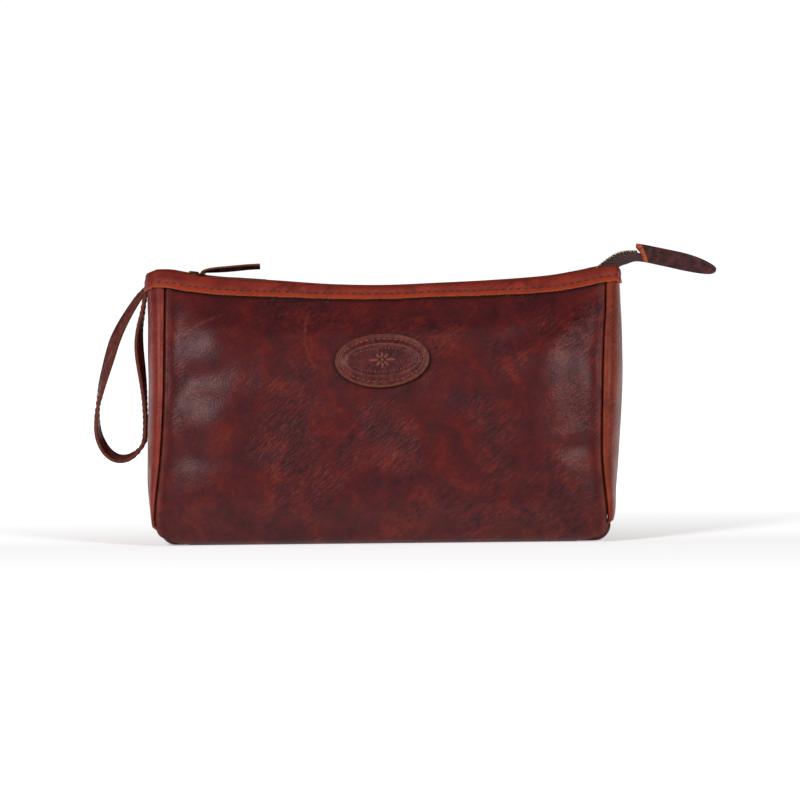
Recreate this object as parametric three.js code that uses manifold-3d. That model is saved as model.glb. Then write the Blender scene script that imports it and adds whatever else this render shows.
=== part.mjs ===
// A leather shaving kit bag with a zipped mouth, a wrist strap and a leather tab on the zip's tail.
// Millimetres, +Z up. The front faces -Y, and the origin is the middle of the base's underside.
import * as THREE from "three";
import { mergeVertices } from "three/addons/utils/BufferGeometryUtils.js";
import Module from "manifold-3d";

const wasm = await Module();
wasm.setup();

// ---------------------------------------------------------------- driving dimensions
const LEATHER = 2; // thickness of the panels
const GAP = 0.3; // between pieces that touch
const RIM_HEIGHT = 142; // top of the binding at mid length
const RIM_RADIUS = 900; // the rim sags on an arc, its centre this far above the rim
const SEAM_HALF_LENGTH = 121; // from the middle to the side seams
const GUSSET_START = 120; // where the gussets' curve begins
const GUSSET_BULGE = 9.5; // how far the gussets swell past that
const GUSSET_SWEEP = THREE.MathUtils.degToRad(80); // half of the gusset's curve in plan
const FOOT_RADIUS = 8; // the rolled lower edge of the front and back
const FOOT_DEPTH = 42.5; // from the middle to that roll's centre, which is the swing axis
const BASE_HALF_DEPTH = 39.5;
const BASE_HALF_LENGTH = 124;
const BASE_LIP = 1.6; // how far the base's raised ends go above their roll
const BINDING = 1.2; // thickness of the binding leather
const BINDING_OUTSIDE = 9.5; // how far it comes down outside
const BINDING_INSIDE = 7.5; // and inside
const LINING = 0.7;
const CHAIN_DROP = 4; // the zip runs this far below the rim's top
const TAPE = 0.8;
const TAPE_EDGE = 2.7; // from the middle to each tape's inner edge
const TOOTH_PITCH = 2.5;
const SLIDER_X = -107; // the slider's place when the mouth is closed

const COLOURS = {
  body: "#55201f",
  binding: "#8f3a22",
  gusset: "#7a3322",
  strap: "#3f2020",
  lining: "#3b2a22",
  tape: "#33242a",
  brass: "#a98a4c",
};

// ---------------------------------------------------------------- shaping helpers
const { lerp, degToRad } = THREE.MathUtils;

function signedVolume(geometry) {
  const at = geometry.attributes.position;
  const order = geometry.index.array;
  const [a, b, c] = [new THREE.Vector3(), new THREE.Vector3(), new THREE.Vector3()];
  let sum = 0;
  for (let i = 0; i < order.length; i += 3) {
    a.fromBufferAttribute(at, order[i]);
    b.fromBufferAttribute(at, order[i + 1]);
    c.fromBufferAttribute(at, order[i + 2]);
    sum += a.dot(b.cross(c)) / 6;
  }
  return sum;
}

function joined(geometry) {
  const bare = geometry.clone();
  bare.deleteAttribute("normal");
  bare.deleteAttribute("uv");
  return mergeVertices(bare, 1e-4);
}

// Moves every point of a closed geometry, and keeps its faces pointing out.
function shaped(geometry, place) {
  const made = joined(geometry);
  const at = made.attributes.position;
  for (let i = 0; i < at.count; i++) {
    const p = place(at.getX(i), at.getY(i), at.getZ(i));
    at.setXYZ(i, p.x, p.y, p.z);
  }
  const order = made.index.array;
  if (signedVolume(made) < 0) {
    for (let i = 0; i < order.length; i += 3) {
      [order[i + 1], order[i + 2]] = [order[i + 2], order[i + 1]];
    }
  }
  made.computeVertexNormals();
  return made;
}

function solid(geometry) {
  const made = joined(geometry);
  const mesh = new wasm.Mesh({
    numProp: 3,
    vertProperties: made.attributes.position.array,
    triVerts: new Uint32Array(made.index.array),
  });
  return new wasm.Manifold(mesh);
}

function geometryOf(manifold) {
  const mesh = manifold.getMesh();
  const made = new THREE.BufferGeometry();
  made.setAttribute("position", new THREE.BufferAttribute(new Float32Array(mesh.vertProperties), 3));
  made.setIndex(new THREE.BufferAttribute(new Uint32Array(mesh.triVerts), 1));
  made.computeVertexNormals();
  return made;
}

function outline(points) {
  return new THREE.Shape(points.map(([x, y]) => new THREE.Vector2(x, y)));
}

// An outline drawn in X and Z, given a width along Y about the middle plane.
function sidePlate(shape, width) {
  const flat = new THREE.ExtrudeGeometry(shape, { depth: width, bevelEnabled: false, curveSegments: 10 });
  return shaped(flat, (x, z, y) => new THREE.Vector3(x, y - width / 2, z));
}

// The outline of a strip of even thickness that follows a line drawn in X and Z.
function ribbon(points, thickness, steps) {
  const line = new THREE.SplineCurve(points.map(([x, z]) => new THREE.Vector2(x, z)));
  const near = [];
  const far = [];
  for (let i = 0; i <= steps; i++) {
    const p = line.getPointAt(i / steps);
    const t = line.getTangentAt(i / steps);
    near.push([p.x - (t.y * thickness) / 2, p.y + (t.x * thickness) / 2]);
    far.unshift([p.x + (t.y * thickness) / 2, p.y - (t.x * thickness) / 2]);
  }
  return outline([...near, ...far]);
}

// ---------------------------------------------------------------- the bag's surface
function rimRise(x) {
  return RIM_RADIUS - Math.sqrt(RIM_RADIUS ** 2 - x ** 2);
}

// The outer face in side view, from the floor up: distance from the middle plane, and height.
function footPoint(degrees) {
  const a = degToRad(degrees);
  return [FOOT_DEPTH + FOOT_RADIUS * Math.cos(a), FOOT_RADIUS + FOOT_RADIUS * Math.sin(a)];
}
const sideProfile = new THREE.SplineCurve(
  [
    ...[-90, -60, -30, 0].map(footPoint),
    [50.8, 24],
    [49.4, 44],
    [45.4, 70],
    [38.2, 96],
    [28.8, 118],
    [21.6, 131],
    [15, RIM_HEIGHT],
  ].map(([d, z]) => new THREE.Vector2(d, z)),
);
const PROFILE_LENGTH = sideProfile.getLength();

// A point of the front (side -1) or back (side 1) wall. along is 0 at the floor and 1 at the rim.
function wallPoint(side, x, along, inset) {
  const p = sideProfile.getPointAt(THREE.MathUtils.clamp(along, 0, 1));
  const t = sideProfile.getTangentAt(THREE.MathUtils.clamp(along, 0, 1));
  const depth = p.x - t.y * inset;
  const height = p.y + t.x * inset;
  const share = p.y / RIM_HEIGHT;
  return new THREE.Vector3(x, side * depth, height + rimRise(x) * share ** 2);
}

// A point of the right gusset's outer face. across is -1 at the front seam and 1 at the back seam.
function gussetFace(across, along) {
  const seam = wallPoint(1, SEAM_HALF_LENGTH, along, LEATHER + GAP);
  const angle = across * GUSSET_SWEEP;
  const low = THREE.MathUtils.smoothstep(seam.z, 4, 60);
  const x = GUSSET_START + GUSSET_BULGE * lerp(0.35, 1, low) * Math.cos(angle);
  return new THREE.Vector3(x, (seam.y * Math.sin(angle)) / Math.sin(GUSSET_SWEEP), seam.z);
}

// The same for the left (end -1) or right (end 1) gusset, inset square to the face.
function gussetPoint(end, across, along, inset) {
  const step = 0.01;
  const low = Math.max(along - step, 0);
  const high = Math.min(along + step, 1);
  const sideways = gussetFace(across + step, along).sub(gussetFace(across - step, along));
  const upwards = gussetFace(across, high).sub(gussetFace(across, low));
  const outwards = sideways.cross(upwards).normalize();
  const p = gussetFace(across, along).addScaledVector(outwards, -inset);
  return new THREE.Vector3(end * p.x, p.y, p.z);
}

function wallHalfLength(along) {
  const short = 1 - THREE.MathUtils.clamp((along * PROFILE_LENGTH) / (FOOT_RADIUS * 1.6), 0, 1);
  return SEAM_HALF_LENGTH - 8 * short ** 2;
}

function bentBox(across, up, place) {
  const box = new THREE.BoxGeometry(1, 1, 1, across, 1, up);
  return shaped(box, (x, y, z) => place(x + 0.5, y + 0.5, z + 0.5));
}

function wall(side, { from, to, inset, thickness, trim }) {
  return bentBox(10, 14, (a, b, c) => {
    const along = lerp(from, to, c);
    const half = wallHalfLength(along) - trim;
    return wallPoint(side, lerp(-half, half, a), along, inset + b * thickness);
  });
}

function gusset(end, { from, to, inset, thickness, trim }) {
  return bentBox(10, 12, (a, b, c) => {
    return gussetPoint(end, lerp(-trim, trim, a), lerp(from, to, c), inset + b * thickness);
  });
}

// ---------------------------------------------------------------- the binding
// A strip folded over the top edge: an upside-down U. u is outwards from the outer face, v is down from the rim.
function bindingSection() {
  const [out, top] = [GAP + BINDING, -BINDING];
  const inner = -(LEATHER + GAP);
  return outline([
    [out, 0],
    [inner - BINDING, 0],
    [inner - BINDING, -BINDING_INSIDE],
    [inner, -BINDING_INSIDE],
    [inner, top],
    [GAP, top],
    [GAP, -BINDING_OUTSIDE],
    [out, -BINDING_OUTSIDE],
  ]);
}

function swept(section, steps, place) {
  const straight = new THREE.ExtrudeGeometry(section, { depth: 1, steps, bevelEnabled: false });
  return shaped(straight, place);
}

function wallBinding(side) {
  const half = SEAM_HALF_LENGTH - 2.5;
  return swept(bindingSection(), 12, (u, v, t) =>
    wallPoint(side, lerp(-half, half, t), 1 + v / PROFILE_LENGTH, -u),
  );
}

function endBinding(end) {
  const reach = 0.88; // stops short of the wall binding at each corner
  return swept(bindingSection(), 12, (u, v, t) =>
    gussetPoint(end, lerp(-reach, reach, t), 1 + v / PROFILE_LENGTH, -u),
  );
}

// ---------------------------------------------------------------- the base
function basePanel() {
  const half = BASE_HALF_LENGTH;
  const shape = new THREE.Shape();
  shape.moveTo(-half, FOOT_RADIUS + BASE_LIP);
  shape.lineTo(-half, FOOT_RADIUS);
  shape.absarc(-half + FOOT_RADIUS, FOOT_RADIUS, FOOT_RADIUS, Math.PI, 1.5 * Math.PI, false);
  shape.absarc(half - FOOT_RADIUS, FOOT_RADIUS, FOOT_RADIUS, 1.5 * Math.PI, 2 * Math.PI, false);
  shape.lineTo(half, FOOT_RADIUS + BASE_LIP);
  shape.lineTo(half - LEATHER, FOOT_RADIUS + BASE_LIP);
  shape.absarc(half - FOOT_RADIUS, FOOT_RADIUS, FOOT_RADIUS - LEATHER, 0, -Math.PI / 2, true);
  shape.absarc(-half + FOOT_RADIUS, FOOT_RADIUS, FOOT_RADIUS - LEATHER, 1.5 * Math.PI, Math.PI, true);
  shape.lineTo(-half + LEATHER, FOOT_RADIUS + BASE_LIP);
  return sidePlate(shape, 2 * BASE_HALF_DEPTH);
}

function baseLining() {
  const sheet = new THREE.BoxGeometry(2 * (BASE_HALF_LENGTH - 12), 2 * (BASE_HALF_DEPTH - 3), LINING);
  return sheet.translate(0, 0, LEATHER + GAP + LINING / 2);
}

// ---------------------------------------------------------------- the badge
const BADGE = { x: -1.5, along: 0.685, halfLength: 26, halfHeight: 15, thickness: 1.6, tilt: degToRad(2) };

function badge() {
  const disc = new THREE.CylinderGeometry(1, 1, 1, 36, 1);
  return shaped(disc, (a, b, c) => {
    const u = a * BADGE.halfLength;
    const v = c * BADGE.halfHeight;
    const x = BADGE.x + u * Math.cos(BADGE.tilt) - v * Math.sin(BADGE.tilt);
    const up = u * Math.sin(BADGE.tilt) + v * Math.cos(BADGE.tilt);
    const lift = 0.5 + (b + 0.5) * BADGE.thickness;
    return wallPoint(-1, x, BADGE.along + up / PROFILE_LENGTH, -lift);
  });
}

// ---------------------------------------------------------------- the zip
function chainHeight(x) {
  return RIM_HEIGHT - CHAIN_DROP + rimRise(x);
}

const TAPE_START = -118.5;
const TAPE_END = 106.5;

function zipTape(side) {
  const outer = { depth: 13, drop: 1.1 };
  return bentBox(14, 1, (a, b, c) => {
    const x = lerp(TAPE_START, TAPE_END, a);
    const depth = lerp(TAPE_EDGE, outer.depth, b);
    const drop = outer.drop * b;
    return new THREE.Vector3(x, side * depth, chainHeight(x) - drop + (c - 0.5) * TAPE);
  });
}

// One row of teeth on its cord. The two rows mesh: each row's teeth lie in the other's gaps.
function zipTeeth(side) {
  const [from, to] = [SLIDER_X + 6, TAPE_END];
  const tooth = 0.95;
  const tip = -0.8;
  const root = 1.1;
  const back = TAPE_EDGE - GAP;
  const shift = side > 0 ? TOOTH_PITCH / 2 : 0;
  const points = [];
  for (let x = from + 0.3 + shift; x + tooth < to; x += TOOTH_PITCH) {
    points.push([x, root], [x, tip], [x + tooth, tip], [x + tooth, root]);
  }
  const row = outline([[from, root], ...points, [to, root], [to, back], [from, back]]);
  const flat = new THREE.ExtrudeGeometry(row, { depth: 2, bevelEnabled: false });
  return shaped(flat, (x, y, z) => new THREE.Vector3(x, side * y, chainHeight(x) + z - 1));
}

function topStop(side) {
  const block = new THREE.BoxGeometry(2.2, 1.6, 2);
  const x = SLIDER_X - 8;
  return block.translate(x, side * 1.6, chainHeight(x));
}

// The slider, about its own middle: two plates, the post that parts the rows, and the bridge.
const PLATE = { halfLength: 5.5, width: 9.5, near: 1.3, far: 2.2 };
const BRIDGE = { half: 3.2, hole: 1.9, top: 5.6, holeTop: 4.4, width: 2.6 };
const PULL_PIVOT = 3.3; // height of the ring's bar above the chain

function sliderBody() {
  const { halfLength, width, near, far } = PLATE;
  const plate = new THREE.BoxGeometry(2 * halfLength, width, far - near);
  const above = solid(plate.clone().translate(0, 0, (near + far) / 2));
  const below = solid(plate.clone().translate(0, 0, -(near + far) / 2));
  const post = solid(new THREE.BoxGeometry(2.6, 2.4, 2 * near + 0.8).translate(-halfLength + 1.3, 0, 0));
  const arch = new THREE.Shape();
  arch.moveTo(-BRIDGE.half, far - 0.4);
  arch.lineTo(-BRIDGE.half, BRIDGE.top - 1.4);
  arch.quadraticCurveTo(-BRIDGE.half, BRIDGE.top, -BRIDGE.half + 1.6, BRIDGE.top);
  arch.lineTo(BRIDGE.half - 1.6, BRIDGE.top);
  arch.quadraticCurveTo(BRIDGE.half, BRIDGE.top, BRIDGE.half, BRIDGE.top - 1.4);
  arch.lineTo(BRIDGE.half, far - 0.4);
  arch.lineTo(BRIDGE.hole, far - 0.4);
  arch.lineTo(BRIDGE.hole, BRIDGE.holeTop);
  arch.lineTo(-BRIDGE.hole, BRIDGE.holeTop);
  arch.lineTo(-BRIDGE.hole, far - 0.4);
  return geometryOf(above.add(below).add(post).add(solid(sidePlate(arch, BRIDGE.width))));
}

const RING = { wire: 1.1, reach: 6.2, halfWidth: 3.25 };

function roundedRectangle(x0, x1, halfWidth, corner, path) {
  path.moveTo(x0 + corner, -halfWidth);
  path.lineTo(x1 - corner, -halfWidth);
  path.quadraticCurveTo(x1, -halfWidth, x1, -halfWidth + corner);
  path.lineTo(x1, halfWidth - corner);
  path.quadraticCurveTo(x1, halfWidth, x1 - corner, halfWidth);
  path.lineTo(x0 + corner, halfWidth);
  path.quadraticCurveTo(x0, halfWidth, x0, halfWidth - corner);
  path.lineTo(x0, -halfWidth + corner);
  path.quadraticCurveTo(x0, -halfWidth, x0 + corner, -halfWidth);
  return path;
}

function pullRing() {
  const w = RING.wire / 2;
  const shape = roundedRectangle(-w, RING.reach + w, RING.halfWidth + w, 1.2, new THREE.Shape());
  shape.holes.push(roundedRectangle(w, RING.reach - w, RING.halfWidth - w, 0.4, new THREE.Path()));
  const ring = new THREE.ExtrudeGeometry(shape, { depth: RING.wire, bevelEnabled: false, curveSegments: 4 });
  return ring.translate(0, 0, -w);
}

// The thong goes round the ring's outer bar, with a long ply above and a short one below.
function pullThong() {
  const r = 1.55;
  const line = [
    [9.5, -1.5],
    [4.5, -1.7],
    [0, -r],
    [-r * 0.8, -r * 0.6],
    [-r, 0],
    [-r * 0.8, r * 0.6],
    [0, r],
    [5, 2.2],
    [12, 2.3],
    [21, 1.7],
    [32.5, 0],
  ];
  return sidePlate(ribbon(line, 1.3, 40), 4).translate(RING.reach, 0, 0);
}

// Past the right end of the rim the two tapes fold together, teeth uppermost.
const EXIT_TOP = [
  [107.2, 146.4],
  [113, 149],
  [118.5, 153],
  [123.5, 157.4],
  [128, 159.4],
  [131.5, 160],
];
const EXIT_BOTTOM = [
  [131.5, 154.2],
  [126, 153],
  [120.5, 151],
  [114, 146.8],
  [107.2, 144.4],
];
const TAIL_PIVOT = { x: 132, z: 154.5 };

function exitTape() {
  return sidePlate(outline([...EXIT_TOP, ...EXIT_BOTTOM]), 5);
}

function exitTeeth() {
  const near = EXIT_TOP.map(([x, z]) => [x - 0.4, z + GAP]);
  const far = EXIT_TOP.map(([x, z]) => [x - 0.9, z + GAP + 1.3]);
  return sidePlate(outline([...near, ...far.reverse()]), 3);
}

const TAB = { x: 138.8, z: 159.3, slope: degToRad(11.3), length: 43.5, half: 4.9, width: 5.2 };

// In the tab's own frame: x along it from its cut end, z across it.
function tabOutline() {
  const shape = new THREE.Shape();
  shape.moveTo(0, -TAB.half);
  shape.bezierCurveTo(14, -TAB.half, 30, -5.2, 37, -4.4);
  shape.bezierCurveTo(43, -3.6, TAB.length, -1.6, TAB.length, -0.4);
  shape.bezierCurveTo(TAB.length, 1, 40, 3.4, 34, 4.3);
  shape.bezierCurveTo(26, 5.3, 12, 5.2, 0, TAB.half);
  return shape;
}

const SLOT = { depth: 14, half: 3.9, width: 1.9 };

function tailTab() {
  const slot = new THREE.BoxGeometry(2 * SLOT.depth, SLOT.width, 2 * SLOT.half);
  return geometryOf(solid(sidePlate(tabOutline(), TAB.width)).subtract(solid(slot)));
}

// In the row's frame, with a slanted start so that it can bend both ways at the rim.
function tailTape() {
  const shape = outline([
    [132.4, 154.6],
    [138, 155.9],
    [149, 154.2],
    [149.8, 159.6],
    [140, 161.4],
    [136, 160.6],
  ]);
  return sidePlate(shape, 1.3);
}

function tailTeeth() {
  const shape = outline([
    [136, 161],
    [138.3, 161.5],
    [138.1, 162.8],
    [135.8, 162.3],
  ]);
  return sidePlate(shape, 2.6);
}

function bottomStop() {
  return new THREE.BoxGeometry(1.8, 1.3, 4).translate(12.6, 0, 0);
}

// ---------------------------------------------------------------- the wrist strap
const STRAP = { width: 9, thickness: 2.2, pivot: [-133.3, 140] };

// One strip, doubled back on itself. Both ends are caught under the binding at the left end.
function wristStrap() {
  const [x, z] = STRAP.pivot;
  const line = [
    [x - 0.9, z - 0.6],
    [x - 8.8, z - 17.5],
    [x - 15.8, z - 36],
    [x - 21, z - 54],
    [x - 24.6, z - 71],
    [x - 23.6, z - 85.5],
    [x - 14.6, z - 94],
    [x - 5.6, z - 91.5],
    [x - 0.4, z - 82],
    [x, z - 68],
    [x - 1, z - 52],
    [x - 3.2, z - 36],
    [x - 2.8, z - 20],
    [x + 0.5, z - 1.5],
  ];
  const strip = solid(sidePlate(ribbon(line, STRAP.thickness, 56), STRAP.width));
  const knuckle = new THREE.CylinderGeometry(1.9, 1.9, STRAP.width, 16).translate(x, 0, z);
  return geometryOf(strip.add(solid(knuckle)));
}

// ---------------------------------------------------------------- the bag
const bag = new THREE.Group();

function add(parent, name, geometry, colour, metalness = 0, roughness = 0.55) {
  const material = new THREE.MeshStandardMaterial({ color: COLOURS[colour], roughness, metalness });
  const mesh = new THREE.Mesh(geometry, material);
  mesh.name = name;
  parent.add(mesh);
  return mesh;
}

const wallTop = 1 - 1.7 / PROFILE_LENGTH;
const gussetFoot = 0.0935;
const liningInset = LEATHER + GAP;
for (const [side, name] of [
  [-1, "front"],
  [1, "back"],
]) {
  const panel = { from: 0, to: wallTop, inset: 0, thickness: LEATHER, trim: 0 };
  const sheet = { from: 0.12, to: 0.935, inset: liningInset, thickness: LINING, trim: 4.5 };
  add(bag, `${name}_panel`, wall(side, panel), "body");
  add(bag, `lining_${name}`, wall(side, sheet), "lining", 0, 0.9);
  add(bag, `binding_${name}`, wallBinding(side), "binding");
  add(bag, `zip_tape_${name}`, zipTape(side), "tape", 0, 0.9);
  add(bag, `zip_teeth_${name}`, zipTeeth(side), "brass", 1, 0.35);
  add(bag, `top_stop_${name}`, topStop(side), "brass", 1, 0.35);
}
for (const [end, name] of [
  [-1, "left"],
  [1, "right"],
]) {
  const panel = { from: gussetFoot, to: wallTop, inset: 0, thickness: LEATHER, trim: 1 };
  const sheet = { from: 0.125, to: 0.935, inset: liningInset, thickness: LINING, trim: 0.8 };
  add(bag, `gusset_${name}`, gusset(end, panel), "gusset");
  add(bag, `lining_${name}`, gusset(end, sheet), "lining", 0, 0.9);
  add(bag, `binding_${name}`, endBinding(end), "binding");
}
add(bag, "base_panel", basePanel(), "body");
add(bag, "lining_base", baseLining(), "lining", 0, 0.9);
add(bag, "badge", badge(), "body");
add(bag, "wrist_strap", wristStrap(), "strap");

const slider = new THREE.Group();
slider.position.set(SLIDER_X, 0, chainHeight(SLIDER_X));
slider.rotation.y = Math.asin(-SLIDER_X / RIM_RADIUS);
bag.add(slider);
add(slider, "slider_body", sliderBody(), "brass", 1, 0.35);

const pull = new THREE.Group();
pull.position.z = PULL_PIVOT;
pull.rotation.y = degToRad(-15);
slider.add(pull);
add(pull, "pull_ring", pullRing(), "brass", 1, 0.35);
add(pull, "pull_thong", pullThong(), "strap");

add(bag, "exit_tape", exitTape(), "tape", 0, 0.9);
add(bag, "exit_teeth", exitTeeth(), "brass", 1, 0.35);
add(bag, "tail_tape", tailTape(), "tape", 0, 0.9);
add(bag, "tail_teeth", tailTeeth(), "brass", 1, 0.35);
const tab = new THREE.Group();
tab.position.set(TAB.x, 0, TAB.z);
tab.rotation.y = TAB.slope;
bag.add(tab);
add(tab, "tail_tab", tailTab(), "strap");
add(tab, "bottom_stop", bottomStop(), "brass", 1, 0.35);

export default bag;
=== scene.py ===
"""A leather shaving kit bag: a sagging zipped mouth, a wrist strap, an oval badge and a tab on the zip.

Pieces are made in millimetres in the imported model's frame, and brought to metres as they are finished.
The front faces -Y and the zip's tail points to +X.
"""

import math
from functools import lru_cache

import bmesh
import bpy
import numpy as np
from mathutils import Matrix, Vector, noise


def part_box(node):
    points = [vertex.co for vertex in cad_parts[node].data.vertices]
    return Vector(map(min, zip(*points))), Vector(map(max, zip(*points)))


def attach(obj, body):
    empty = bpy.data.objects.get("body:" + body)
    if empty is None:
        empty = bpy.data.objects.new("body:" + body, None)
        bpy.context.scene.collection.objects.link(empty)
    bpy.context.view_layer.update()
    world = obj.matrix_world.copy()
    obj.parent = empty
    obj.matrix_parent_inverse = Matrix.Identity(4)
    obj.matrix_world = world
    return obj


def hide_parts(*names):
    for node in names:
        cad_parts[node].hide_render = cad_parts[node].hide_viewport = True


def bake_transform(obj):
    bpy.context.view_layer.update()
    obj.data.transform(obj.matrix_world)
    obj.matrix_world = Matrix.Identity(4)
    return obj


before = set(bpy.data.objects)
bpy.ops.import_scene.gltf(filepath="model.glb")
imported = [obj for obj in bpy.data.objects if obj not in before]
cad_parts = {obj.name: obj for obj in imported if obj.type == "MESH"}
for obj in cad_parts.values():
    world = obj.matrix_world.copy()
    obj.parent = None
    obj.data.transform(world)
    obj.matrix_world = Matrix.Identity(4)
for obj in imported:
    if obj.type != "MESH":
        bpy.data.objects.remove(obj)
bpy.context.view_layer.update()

MM = 0.001

# ---------------------------------------------------------------- sizes, in millimetres
LEATHER = 2.0
RIM = 142.0  # top of the binding at mid length
RIM_RADIUS = 900.0  # the sagging rim's arc
FOOT_DEPTH = 42.5  # the rolled lower edge of the front and back, from the middle to its centre
FOOT_RADIUS = 8.0
SEAM_ROLL = 1.6  # radius of a turned edge
TUCK = 2.0  # seam allowance that shows in the groove
CHAIN_DROP = 4.0  # the zip's chain runs this far below the rim's top
TOOTH_PITCH = 2.1
STITCH_PITCH = 4.1
PLUMP = (5.4, 6.4)  # how far the front and back swell, next to their left and right seams
PLUMP_REACH = 21.0  # and how far in from the seam


# ---------------------------------------------------------------- lines and surfaces
class Line:
    """A smooth line through a few points, measured along its length."""

    def __init__(self, points):
        p = np.array(points, float)
        p = np.vstack([2 * p[0] - p[1], p, 2 * p[-1] - p[-2]])
        rows = []
        for a, b, c, d in zip(p, p[1:], p[2:], p[3:]):
            for t in np.linspace(0, 1, 24, endpoint=False):
                bent = (2 * a - 5 * b + 4 * c - d) * t * t + (3 * b - a - 3 * c + d) * t**3
                rows.append((2 * b + (c - a) * t + bent) / 2)
        rows.append(p[-2])
        self.rows = np.array(rows)
        steps = np.linalg.norm(np.diff(self.rows, axis=0), axis=1)
        self.along = np.concatenate([[0], np.cumsum(steps)])
        self.length = float(self.along[-1])

    @lru_cache(maxsize=None)
    def at(self, distance):
        return np.array([np.interp(distance, self.along, column) for column in self.rows.T])

    @lru_cache(maxsize=None)
    def heading(self, distance):
        low = max(distance - 0.3, 0)
        high = min(distance + 0.3, self.length)
        step = self.at(high) - self.at(low)
        return step / np.linalg.norm(step)


def curve(points):
    """A smooth function through (input, output) points."""
    rows = Line(points).rows
    return lambda value: float(np.interp(value, rows[:, 0], rows[:, 1]))


def lerp(a, b, t):
    return a + (b - a) * t


def smooth(value, low, high):
    t = min(max((value - low) / (high - low), 0.0), 1.0)
    return t * t * (3 - 2 * t)


def foot_point(degrees):
    a = math.radians(degrees)
    return FOOT_DEPTH + FOOT_RADIUS * math.cos(a), FOOT_RADIUS + FOOT_RADIUS * math.sin(a)


# The outer face in side view: distance from the middle plane, and height.
PROFILE = Line(
    [foot_point(a) for a in (-90, -60, -30, 0)]
    + [(50.8, 24), (49.4, 44), (45.4, 70), (38.2, 96), (28.8, 118), (21.6, 131), (15, RIM)]
)
TOP = PROFILE.length
WALL_TOP = TOP - 1.7
GUSSET_FOOT = 14.9

# Where the side seams and the gussets' outermost lines run, by height.
SEAM = {
    -1: curve(
        [(0, 124.6), (11, 126.9), (21, 127.0), (45, 124.2), (66, 122.6), (88, 121.9),
         (118, 121.7), (152, 121.8)]
    ),
    1: curve([
        (0, 120.4), (9, 121.2), (19, 121.0), (43, 118.8), (62, 118.8), (79, 119.4), (106, 120.7),
        (124, 122.3),
        (152, 123.6),
    ]),
}
BELLY = {
    -1: curve([
        (0, 128.5), (9, 129.8), (15, 130.6), (25, 132.4), (38, 133.3), (70, 132.6), (111, 132.4),
        (138, 132.2),
        (152, 131.2),
    ]),
    1: curve([
        (0, 124.0), (9, 125.4), (16, 127.4), (28, 128.2), (39, 129.3), (53, 130.5), (75, 132.0), (100, 132.6),
        (131, 131.5), (152, 129.4),
    ]),
}

# How far the rim stands above its CAD height at mid length, by distance along the bag.
rim_rise = curve(
    [(-134, 6.8), (-129, 8.7), (-125, 9.4), (-120, 9.0), (-113.6, 7.9), (-105, 6.4), (-92.4, 4.8),
     (-75.4, 3.3), (-58.4, 2.1)]
    + [(-41.4, 0.7), (-24.4, -0.4), (-2.3, -0.9), (20.4, -0.4), (48, 0.9), (75.8, 1.8),
     (94.2, 3.9), (112.7, 6.9)]
    + [(121.9, 9.1), (126, 9.3), (129.5, 8.6), (134, 7.0)]
)


def bump_at(x, z, row):
    """One soft swelling or hollow: its middle, half sizes, turn and height."""
    cx, cz, half_long, half_wide, turn, height = row
    a = math.radians(turn)
    dx, dz = x - cx, z - cz
    u = (dx * math.cos(a) + dz * math.sin(a)) / half_long
    v = (-dx * math.sin(a) + dz * math.cos(a)) / half_wide
    return height * math.exp(-(u * u + v * v))


# Swellings and hollows of the front, pulled by the seams: middle x and z, half sizes, turn, height.
FRONT_RELIEF = [
    (-91, 109, 18, 12, 18, 2.8),
    (-106, 88, 24, 9, 6, -2.2),
    (-112, 117, 18, 6, 27, -1.2),
    (-96, 123, 26, 4, 28, 0.9),
    (-72, 116, 28, 8, 24, -1.6),
    (-90, 66, 20, 13, 10, 2.4),
    (-110, 50, 18, 9, -12, -1.4),
    (-64, 90, 26, 14, -24, 0.8),
    (-86, 32, 34, 13, 6, 1.0),
    (104, 113, 20, 6.5, 38, 2.0),
    (84, 94, 16, 22, -10, 1.6),
    (82, 113, 26, 8, 22, -2.0),
    (112, 97, 10, 8, 20, -1.0),
    (110, 60, 16, 4, 14, 0.8),
    (106, 52, 16, 4, 12, -0.9),
    (96, 36, 22, 13, -8, 1.0),
    (55, 122, 32, 8, 12, 0.7),
    (40, 66, 34, 18, 12, 0.9),
    (-30, 60, 34, 16, -14, -0.7),
    (0, 30, 60, 14, 0, 0.8),
    (62, 26, 24, 10, 20, -0.7),
]
BACK_RELIEF = [
    (-96, 96, 24, 8, -16, 2.0),
    (-106, 80, 18, 5, -6, -2.0),
    (102, 92, 22, 8, 28, 1.8),
    (108, 74, 18, 5, 8, -1.8),
    (0, 100, 60, 14, 0, -1.2),
    (20, 56, 50, 20, 8, 1.2),
    (-60, 40, 30, 12, -12, -0.8),
]


def relief(side, x, z, from_seam):
    """How far the leather swells out of its plain surface."""
    rows = FRONT_RELIEF if side < 0 else BACK_RELIEF
    height = sum(bump_at(x, z, row) for row in rows if abs(x - row[0]) < 2.6 * row[2])
    height += 0.7 * noise.noise(Vector((x / 34, z / 26, 3 * side)))
    height += 0.22 * noise.noise(Vector((x / 11, z / 9, 7 * side)))
    fade = smooth(z, 5, 24) * smooth(RIM - z, 8, 30)
    full = lerp(PLUMP[0], PLUMP[1], smooth(x, -60, 60))
    plump = full * (1 - math.exp(-((from_seam / PLUMP_REACH) ** 2)))
    ridge = 0.55 * math.exp(-(((from_seam - 1.6) / 1.3) ** 2))
    valley = 0.3 * math.exp(-(((from_seam - 6.5) / 3.2) ** 2))
    return (height * smooth(from_seam, 0, 15) + plump) * fade + ridge - valley * smooth(z, 2, 12)


def wall(side, x, up, lift=0.0):
    """A point of the front (side -1) or back (side 1) wall, up the leather from the floor."""
    depth, height = PROFILE.at(up)
    run, rise = PROFILE.heading(up)
    from_seam = min(x + SEAM[-1](height), SEAM[1](height) - x)
    lift += relief(side, x, height, max(from_seam, 0.0))
    depth += rise * lift
    level = height + rim_rise(x) * (height / RIM) ** 2
    return Vector((x, side * depth, level - run * lift))


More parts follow.
